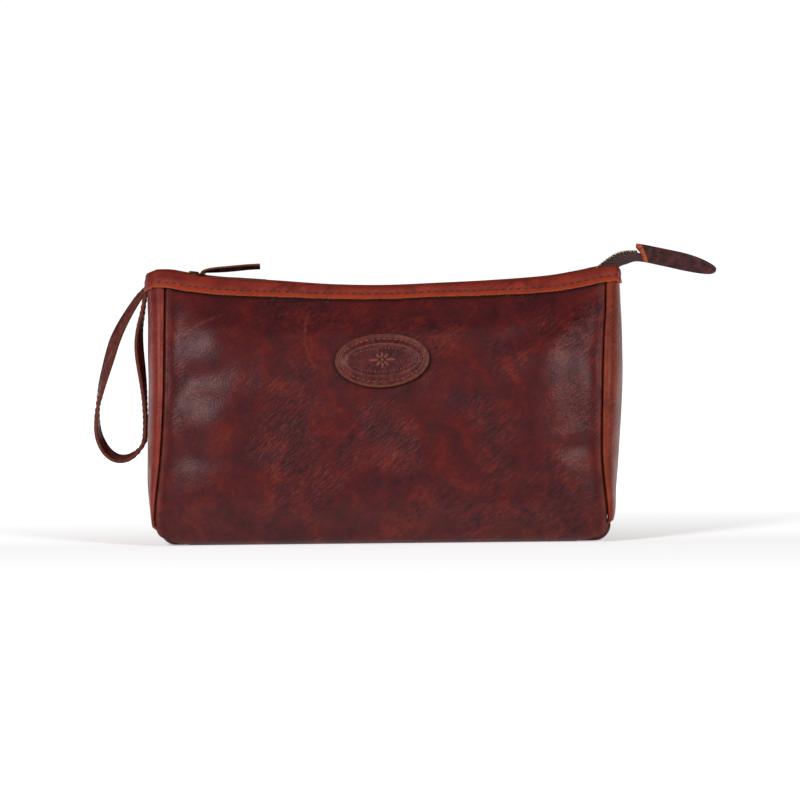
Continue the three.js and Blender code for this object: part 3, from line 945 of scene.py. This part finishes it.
def make_tapes():
    cut = split_distance()
    for side, name in ((-1, "front"), (1, "back")):

        def place(u, v, side=side):
            return tape_place(side, lerp(0, cut, u), v if side > 0 else 1 - v)

        rim_tape = finish(
            f"zip_tape_{name}_cloth", grid(150, 8, place, (cut, TAPE_WIDTH)), [TAPE],
            [f"zip_tape_{name}"], [thick(0.7, offset=0)],
        )
        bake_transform(rim_tape)

    def tail_place(u, v):
        side = -1 if v < 0.5 else 1
        return tape_place(side, lerp(cut, CHAIN.length, u), abs(v - 0.5) * 2)

    tail = finish(
        "zip_tail_cloth", grid(60, 14, tail_place, (CHAIN.length - cut, 2 * TAPE_WIDTH)), [TAPE],
        ["exit_tape", "tail_tape"], [thick(0.7, offset=0)],
    )
    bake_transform(tail)


def tooth(bm, distance, side):
    """One tooth: a block clamped on the tape's edge, its head across the middle."""
    x, z = CHAIN.at(distance)
    run, rise = CHAIN.heading(distance)
    along = Vector((run, 0, rise))
    up = Vector((-rise, 0, run))
    folded = smooth(x, 100, 121)
    sizes = (lerp(1.15, 0.95, folded), lerp(3.0, 1.5, folded), lerp(1.9, 1.7, folded))
    centre = Vector((x, side * lerp(0.95, 0.76, folded), z)) + up * (0.45 * folded)
    matrix = Matrix.Translation(centre) @ Matrix((along, Vector((0, 1, 0)), up)).transposed().to_4x4()
    made = bmesh.ops.create_cube(bm, size=1, matrix=matrix @ Matrix.Diagonal((*sizes, 1)))
    edges = list({e for v in made["verts"] for e in v.link_edges})
    bmesh.ops.bevel(bm, geom=edges, offset=0.25, affect="EDGES", segments=1, profile=0.5, material=-1)


def make_teeth():
    cut = split_distance()
    start = float(np.interp(-104, CHAIN.rows[:, 0], CHAIN.along))
    distances = np.arange(start, CHAIN.length - 5.5, TOOTH_PITCH)
    rows = {"front": bmesh.new(), "back": bmesh.new(), "tail": bmesh.new()}
    for side, name in ((-1, "front"), (1, "back")):
        for distance in distances + (TOOTH_PITCH / 2 if side > 0 else 0):
            tooth(rows[name] if distance < cut else rows["tail"], distance, side)
    for name in ("front", "back"):
        bmesh.ops.recalc_face_normals(rows[name], faces=rows[name].faces)
        piece = finish(f"zip_teeth_{name}_row", rows[name], [BRASS], [f"zip_teeth_{name}"])
        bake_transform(piece)
    bmesh.ops.recalc_face_normals(rows["tail"], faces=rows["tail"].faces)
    piece = finish("zip_teeth_tail_row", rows["tail"], [BRASS], ["exit_teeth", "tail_teeth"])
    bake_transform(piece)


def softened_copy(node, name, body, width, material=BRASS):
    """A metal part's own shape with its edges rounded."""
    bm = bmesh.new()
    bm.from_mesh(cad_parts[node].data)
    bmesh.ops.scale(bm, vec=Vector((1, 1, 1)) / MM, verts=bm.verts)
    bmesh.ops.remove_doubles(bm, verts=bm.verts, dist=0.01)
    bmesh.ops.dissolve_limit(bm, angle_limit=math.radians(4), verts=bm.verts, edges=bm.edges)
    piece = finish(name, bm, [material], [node], [rounded(width, 2, 35)])
    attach(piece, body)
    return piece


def make_slider():
    softened_copy("slider_body", "zip_slider", "slider", 0.35, DARK_BRASS)
    softened_copy("pull_ring", "zip_pull_ring", "pull", 0.3, DARK_BRASS)
    softened_copy("top_stop_front", "zip_top_stop_front", "front", 0.3)
    softened_copy("top_stop_back", "zip_top_stop_back", "back", 0.3)
    softened_copy("bottom_stop", "zip_bottom_stop", "tail", 0.2)


# ---------------------------------------------------------------- straps: thong, wrist strap
def ribbon_place(line, width, twist):
    """A strip along a line in X and Z, lying across Y, turned about its own length by twist degrees."""

    def place(u, v):
        distance = u * line.length
        x, z = line.at(distance)
        run, rise = line.heading(distance)
        turn = math.radians(twist(u))
        across = Vector((0, math.cos(turn), 0)) + Vector((-rise, 0, run)) * math.sin(turn)
        return Vector((x, 0, z)) + across * width(u) * (v - 0.5)

    return place


def make_thong():
    points = [(-66, 144.4), (-74, 145.0), (-82, 145.6), (-91, 146.1), (-97, 146.4), (-100.4, 146.9),
              (-102.0, 147.6)]
    points += [(-102.3, 148.6), (-101.2, 149.7), (-98, 150.3), (-93, 150.7), (-88, 151.0), (-82, 151.5)]
    points += [(-76, 152.0), (-69.4, 152.3)]
    line = Line(points)
    twist = turns(line, [0, 0, 0, 0, 0, 0, 0, 0, -8, -26, -38, -42, -42, -40, -38])
    bm = grid(110, 6, ribbon_place(line, lambda u: 4.0, twist), (line.length, 4.3))
    piece = finish(
        "pull_thong_leather", bm, [STRAP, CUT_DARK], ["pull_thong"],
        [thick(1.3, offset=0, rim=1), rounded(0.3, 2, 50)],
    )
    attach(piece, "pull")


# The strap's route in X and Z, and how far it is turned about its own length, in degrees.
STRAP_ROUTE = [
    (-129.4, 146.0, 0), (-131.7, 142.6, -4), (-134.2, 139.3, -10), (-137.6, 135.3, -16),
    (-142.9, 127.4, -22), (-147.5, 119.4, -28), (-151.2, 111.4, -32), (-153.8, 103.4, -31),
    (-156.2, 95.4, -26), (-158.5, 87.3, -19), (-160.3, 79.3, -9), (-161.3, 73.7, -2), (-161.7, 67.3, 4),
    (-161.3, 60.8, 11), (-159.7, 55.2, 17), (-156.9, 50.2, 20), (-153.2, 46.8, 20), (-149.2, 45.4, 17),
    (-144.6, 45.9, 12), (-140.4, 48.3, 6), (-137.2, 51.6, 1), (-135.2, 55.9, -3), (-134.6, 63.0, -3),
    (-134.7, 71.0, -2), (-135.0, 79.1, -5), (-135.6, 87.1, -11), (-136.5, 95.2, -17),
    (-137.4, 103.2, -20), (-137.7, 111.2, -18), (-137.0, 119.3, -10), (-135.4, 127.3, -3),
    (-134.2, 134.3, 0), (-132.6, 140.1, 0), (-130.2, 145.0, 0),
]
STRAP_LINE = Line([(x, z) for x, z, _ in STRAP_ROUTE])


def turns(line, angles):
    """The angle at each share of a line's length, from the angles at its points."""
    return curve([(line.along[24 * i] / line.length, angle) for i, angle in enumerate(angles)])


def make_wrist_strap():
    twist = turns(STRAP_LINE, [turn for _, _, turn in STRAP_ROUTE])
    width = curve([(0, 5), (0.03, 6), (0.1, 9.4), (0.9, 9.4), (0.97, 6), (1, 5)])
    place = ribbon_place(STRAP_LINE, width, twist)
    bm = grid(200, 8, place, (STRAP_LINE.length, 10))
    piece = finish(
        "wrist_strap_leather", bm, [WRIST, RUST_EDGE, FLESH], ["wrist_strap"],
        [thick(2.0, offset=0, rim=1), rounded(0.45, 2, 50)],
    )
    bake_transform(piece)

    bm = bmesh.new()
    count = int(STRAP_LINE.length / 3.4)
    for share in (0.13, 0.87):
        for i in range(count):
            u = (i + 0.5) / count
            here = place(u, share)
            along = place(min(u + 0.004, 1), share) - place(max(u - 0.004, 0), share)
            across = place(u, 1) - place(u, 0)
            out = across.cross(along).normalized()
            for face in (-1, 1):
                stitch(bm, here + out * face * 1.0, along, out * face, 2.2, 0.6, 0.3)
    bmesh.ops.recalc_face_normals(bm, faces=bm.faces)
    thread = finish("wrist_strap_stitches", bm, [THREAD_DARK])
    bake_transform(thread)


# ---------------------------------------------------------------- the tab on the zip's tail
TAB_OUTLINE = Line(
    [(141.1, 163.0), (146, 162.2), (151.6, 161.0), (159.9, 159.2), (168.2, 157.3), (175.4, 154.9),
     (180.9, 152.3)]
    + [(184.6, 149.9), (185.6, 148.0), (184.6, 146.1), (181.6, 145.3), (176.4, 145.7), (168.1, 147.2)]
    + [(159.9, 149.1), (151.6, 151.0), (144.9, 152.5)]
)
TAB_CUT = Line([TAB_OUTLINE.rows[-1], TAB_OUTLINE.rows[0]])  # the open end, cut across
TAB_END_BAND = 2.4  # how wide the cut edge shows
# Through the tab, from its front face to its back: how far in from the outline, and where in Y.
TAB_LAYERS = [(2.4, -2.5), (1.3, -2.65), (0.45, -2.3), (0.05, -1.4), (0.25, 0), (0.05, 1.4), (0.45, 2.3)]
TAB_LAYERS += [(1.3, 2.65), (2.4, 2.5)]


def tab_ring(bm, inset, y):
    """A closed ring of points along the tab's edge, drawn in by inset."""
    count = 84
    made = bmesh.ops.create_circle(bm, segments=count, radius=1, cap_ends=False)["verts"]
    perimeter = TAB_OUTLINE.length + TAB_CUT.length
    for i, vert in enumerate(made):
        distance = i / count * perimeter
        line = TAB_OUTLINE if distance < TAB_OUTLINE.length else TAB_CUT
        here = distance if line is TAB_OUTLINE else distance - TAB_OUTLINE.length
        x, z = line.at(here)
        run, rise = line.heading(here)
        pull = min(inset, 0.7) if line is TAB_CUT else inset
        wave = 0.35 * noise.noise(Vector((x / 9, y, 5)))
        vert.co = Vector((x + rise * pull, y + wave, z - run * pull))
    return list({e for v in made for e in v.link_edges})


def make_tab():
    bm = bmesh.new()
    rings = [tab_ring(bm, inset, y) for inset, y in TAB_LAYERS]
    for low, high in zip(rings, rings[1:]):
        bmesh.ops.bridge_loops(bm, edges=low + high)
    for ring in (rings[0], rings[-1]):
        bmesh.ops.contextual_create(bm, geom=ring)
    bmesh.ops.recalc_face_normals(bm, faces=bm.faces)
    start = TAB_CUT.at(0)
    run, rise = TAB_CUT.heading(TAB_CUT.length / 2)
    bmesh.ops.bisect_plane(
        bm, geom=bm.verts[:] + bm.edges[:] + bm.faces[:],
        plane_co=(start[0] + rise * TAB_END_BAND, 0, start[1] - run * TAB_END_BAND),
        plane_no=(rise, 0, -run),
    )
    for face in bm.faces:
        centre = face.calc_center_median()
        inward = (centre.x - start[0]) * rise - (centre.z - start[1]) * run
        if inward < TAB_END_BAND:
            face.material_index = 1
        elif abs(centre.y) < 1.7:
            face.material_index = 2
    piece = finish("tail_tab_leather", bm, [STRAP, CUT, CUT_DARK], ["tail_tab"])
    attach(piece, "tail")

    bm = bmesh.new()
    for face in (-1, 1):
        for distance in np.arange(4, TAB_OUTLINE.length - 3, 3.4):
            x, z = TAB_OUTLINE.at(distance)
            run, rise = TAB_OUTLINE.heading(distance)
            centre = (x + rise * 1.9, face * 2.66, z - run * 1.9)
            stitch(bm, centre, (run, 0, rise), (0, face, 0), 2.2, 0.6, 0.3)
    bmesh.ops.recalc_face_normals(bm, faces=bm.faces)
    thread = finish("tail_tab_stitches", bm, [THREAD_DARK])
    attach(thread, "tail")


# ---------------------------------------------------------------- the oval badge
BADGE_MIDDLE = (-1.5, 0.685)  # along the bag, and the share of the way up the leather
BADGE_HALF = (26.0, 15.0)
BADGE_TILT = math.radians(2)


def on_badge(a, c, lift):
    """A point of the badge: a and c from its middle, lift out of the front leather."""
    x = BADGE_MIDDLE[0] + a * math.cos(BADGE_TILT) - c * math.sin(BADGE_TILT)
    up = BADGE_MIDDLE[1] * TOP + a * math.sin(BADGE_TILT) + c * math.cos(BADGE_TILT)
    return wall(-1, x, up, lift)


# From the edge to the middle: how far in from the outline, and how high.
BADGE_STEPS = [
    (0.0, 0.1), (0.0, 1.3), (0.3, 1.9), (0.9, 2.15), (1.6, 2.0), (2.4, 1.5), (3.0, 1.3), (3.6, 1.5),
    (4.4, 1.9), (5.2, 1.9), (5.6, 2.4), (6.0, 2.45), (6.5, 1.9), (7.0, 1.65), (9.0, 1.6), (13.0, 1.7),
]
BADGE_EDGE = 0.75  # how far in the dark cut edge reaches
BADGE_SEAM = 3.0  # how far in from the edge it is sewn
BADGE_BEADS = 8.4  # and how far in its ring of small bars lies


def badge_ring(angle, inset, lift):
    a = math.cos(angle) * (BADGE_HALF[0] - inset)
    c = math.sin(angle) * (BADGE_HALF[1] - inset)
    return on_badge(a, c, lift)


@lru_cache(maxsize=None)
def badge_axes():
    middle = on_badge(0, 0, 0)
    return middle, (on_badge(1, 0, 0) - middle).normalized(), (on_badge(0, 1, 0) - middle).normalized()


def badge_offset(point):
    """Where a point lies from the badge's middle, along its length and up its height."""
    middle, across, upward = badge_axes()
    return (point - middle).dot(across), (point - middle).dot(upward)


def badge_inset(point):
    """How far in from the badge's edge a point lies."""
    a, c = badge_offset(point)
    low, high = 0.0, BADGE_HALF[1] - 0.1
    for _ in range(12):
        inset = (low + high) / 2
        if math.hypot(a / (BADGE_HALF[0] - inset), c / (BADGE_HALF[1] - inset)) > 1:
            high = inset
        else:
            low = inset
    return low


def badge_wear_and_highlight(point):
    """The badge's two raised rings are paler: rubbed wear and painted highlight."""
    inset = badge_inset(point)
    rings = 0.25 * math.exp(-(((inset - 1.3) / 0.7) ** 2)) + 0.4 * math.exp(-(((inset - 5.8) / 0.55) ** 2))
    return max(0.0, 0.04 + rings + 0.3 * noise.noise(point / 2))


def make_badge():
    bm = bmesh.new()
    rings = []
    count = 120
    for inset, lift in BADGE_STEPS:
        made = bmesh.ops.create_circle(bm, segments=count, radius=1, cap_ends=False)["verts"]
        for vert in made:
            a = vert.co.x * (BADGE_HALF[0] - inset)
            c = vert.co.y * (BADGE_HALF[1] - inset)
            vert.co = on_badge(a, c, lift)
        rings.append(list({e for v in made for e in v.link_edges}))
    for low, high in zip(rings, rings[1:]):
        bmesh.ops.bridge_loops(bm, edges=low + high)
    for ring in (rings[0], rings[-1]):
        bmesh.ops.contextual_create(bm, geom=ring)
    bmesh.ops.recalc_face_normals(bm, faces=bm.faces)
    for face in bm.faces:
        on_edge = len(face.verts) == 4 and badge_inset(face.calc_center_median()) < BADGE_EDGE
        face.material_index = 1 if on_edge else 0
    piece = finish("badge_leather", bm, [BADGE_LEATHER, CUT_DARK], ["badge"])
    store_wear_and_shade(piece, badge_wear_and_highlight)
    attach(piece, "front")

    emboss = bmesh.new()
    out = Vector((0, -1, 0.4))
    for half in (0, math.pi):
        for i in range(19):
            angle = half + math.radians(28 + i * 124 / 18)
            centre = badge_ring(angle, BADGE_BEADS, 1.7)
            step = badge_ring(angle, BADGE_BEADS - 1, 1.7) - centre
            matrix = frame_matrix(centre, step, out, (0.85, 0.36, 0.42))
            bmesh.ops.create_uvsphere(emboss, u_segments=8, v_segments=6, radius=1, matrix=matrix)
    for i in range(8):
        angle = i / 8 * 2 * math.pi
        a, c = math.cos(angle), math.sin(angle)
        reach = 4.6 if i % 4 == 0 else 3.0
        centre = on_badge(a * reach, c * 2.8, 1.7)
        step = on_badge(a * reach * 1.2, c * 3.4, 1.7) - centre
        matrix = frame_matrix(centre, step, out, (reach * 0.62, 0.95, 0.75))
        bmesh.ops.create_uvsphere(emboss, u_segments=12, v_segments=8, radius=1, matrix=matrix)
    matrix = frame_matrix(on_badge(0, 0, 1.9), (1, 0, 0), out, (1.1, 1.1, 0.9))
    bmesh.ops.create_uvsphere(emboss, u_segments=12, v_segments=8, radius=1, matrix=matrix)
    bmesh.ops.recalc_face_normals(emboss, faces=emboss.faces)
    piece = finish("badge_emboss", emboss, [BADGE_LEATHER])
    # the raised marks are paler all over: rubbed wear and painted highlight
    store_wear_and_shade(piece, lambda p: 0.6)
    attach(piece, "front")

    bm = bmesh.new()
    hole_shadows = bmesh.new()
    count = 44
    for i in range(count):
        angle = (i + 0.5) / count * 2 * math.pi
        centre = badge_ring(angle, BADGE_SEAM, 1.35)
        ahead = badge_ring(angle + 0.02, BADGE_SEAM, 1.35) - centre
        stitch(bm, centre, ahead, out, 2.0, 0.75, 0.45)
        # painted shade: flat dark thread discs between the stitches stand in for the shade in the stitch
        # holes
        centre = badge_ring(angle + math.pi / count, BADGE_SEAM, 1.3)
        matrix = frame_matrix(centre, ahead, out, (0.5, 0.5, 0.14))
        bmesh.ops.create_uvsphere(hole_shadows, u_segments=8, v_segments=4, radius=1, matrix=matrix)
    for name, mesh, material in (("stitches", bm, THREAD_TAN), ("stitch_holes", hole_shadows, THREAD_DARK)):
        bmesh.ops.recalc_face_normals(mesh, faces=mesh.faces)
        thread = finish(f"badge_{name}", mesh, [material])
        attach(thread, "front")


# its worn colour serves both as rubbed wear and as the painted highlight on the raised rings and marks
BADGE_LEATHER = leather(
    "embossed oxblood leather", [(0.36, "#2c0e10"), (0.55, "#3e1517"), (0.8, "#55201f")], "#8a4a42",
    roughness=(0.36, 0.5), mottle=8, grain=0.8,
)


# ---------------------------------------------------------------- the scene
def make_floor():
    bm = bmesh.new()
    bmesh.ops.create_grid(bm, x_segments=1, y_segments=1, size=6)
    mesh = bpy.data.meshes.new("floor")
    bm.to_mesh(mesh)
    bm.free()
    floor = bpy.data.objects.new("floor", mesh)
    bpy.context.scene.collection.objects.link(floor)
    material, _, shader = new_material("white light table")
    shader.inputs["Base Color"].default_value = linear("#f6f6f6")
    shader.inputs["Roughness"].default_value = 0.9
    shader.inputs["Emission Color"].default_value = linear("#ffffff")
    place = add_node(material.node_tree, "ShaderNodeTexCoord").outputs["Object"]
    parts = add_node(material.node_tree, "ShaderNodeSeparateXYZ", inputs={0: place})
    glow = add_node(
        material.node_tree, "ShaderNodeMapRange",
        inputs={"Value": parts.outputs["Y"], 1: -0.05, 2: 0.3, 3: 0.4, 4: 1.0},
    )
    material.node_tree.links.new(glow.outputs[0], shader.inputs["Emission Strength"])
    mesh.materials.append(material)


def area_light(name, place, target, size, power, colour="#ffffff"):
    data = bpy.data.lights.new(name, "AREA")
    data.shape = "RECTANGLE"
    data.size, data.size_y = size
    data.energy = power
    data.color = linear(colour)[:3]
    light = bpy.data.objects.new(name, data)
    light.location = place
    light.rotation_euler = (Vector(target) - Vector(place)).to_track_quat("-Z", "Y").to_euler()
    bpy.context.scene.collection.objects.link(light)


def make_lights():
    middle = (0, 0, 0.07)
    area_light("left softbox", (-0.86, -1.05, 0.92), middle, (0.36, 0.44), 14)
    area_light("right softbox", (0.95, -1.05, 0.8), middle, (0.34, 0.44), 10.5)
    world = bpy.data.worlds.new("studio")
    bpy.context.scene.world = world
    world.use_nodes = True
    tree = world.node_tree
    direction = add_node(tree, "ShaderNodeTexCoord").outputs["Generated"]
    parts = add_node(tree, "ShaderNodeSeparateXYZ", inputs={0: direction})
    band = add_node(tree, "ShaderNodeValToRGB", inputs={"Fac": parts.outputs["Z"]})
    band.color_ramp.elements.new(0.5)
    band.color_ramp.elements.new(0.5)
    stops = [(0.06, 1.0), (0.1, 0.05), (0.8, 0.05), (0.95, 0.4)]  # bright low down, dark round the lamps
    for element, (place, value) in zip(band.color_ramp.elements, stops):
        element.position = place
        element.color = (value, value, value, 1)
    background = tree.nodes["Background"]
    tree.links.new(band.outputs["Color"], background.inputs["Color"])
    behind = add_node(
        tree, "ShaderNodeMapRange", inputs={"Value": parts.outputs["Y"], 1: -0.2, 2: 0.4, 3: 0.12, 4: 1.02}
    )
    tree.links.new(behind.outputs[0], background.inputs["Strength"])


CAMERA_ROLL = 0.6  # degrees


def make_camera():
    """A long lens, nearly level, as far off as keeps both side seams about straight."""
    distance, width, elevation = 2.5, 0.4408, math.radians(3)
    data = bpy.data.cameras.new("camera")
    data.sensor_width = 36
    data.lens = data.sensor_width * distance / width
    data.clip_end = 50
    camera = bpy.data.objects.new("camera", data)
    target = Vector((0.0094, -0.040, 0.0788))
    camera.location = target + distance * Vector((0, -math.cos(elevation), math.sin(elevation)))
    camera.rotation_euler = (math.pi / 2 - elevation, math.radians(CAMERA_ROLL), 0)
    bpy.context.scene.collection.objects.link(camera)
    bpy.context.scene.camera = camera
    bpy.context.scene.view_settings.view_transform = "Standard"


for side, name in ((-1, "front"), (1, "back")):
    make_wall(side, name)
    make_binding(side, name)
    make_gusset(-1, side, GUSSET_LEFT)
    make_gusset(1, side, GUSSET_RIGHT)
make_base()
make_seam_allowances()
make_linings()
make_tapes()
make_teeth()
make_slider()
make_thong()
make_wrist_strap()
make_tab()
make_badge()
make_floor()
make_lights()
make_camera()
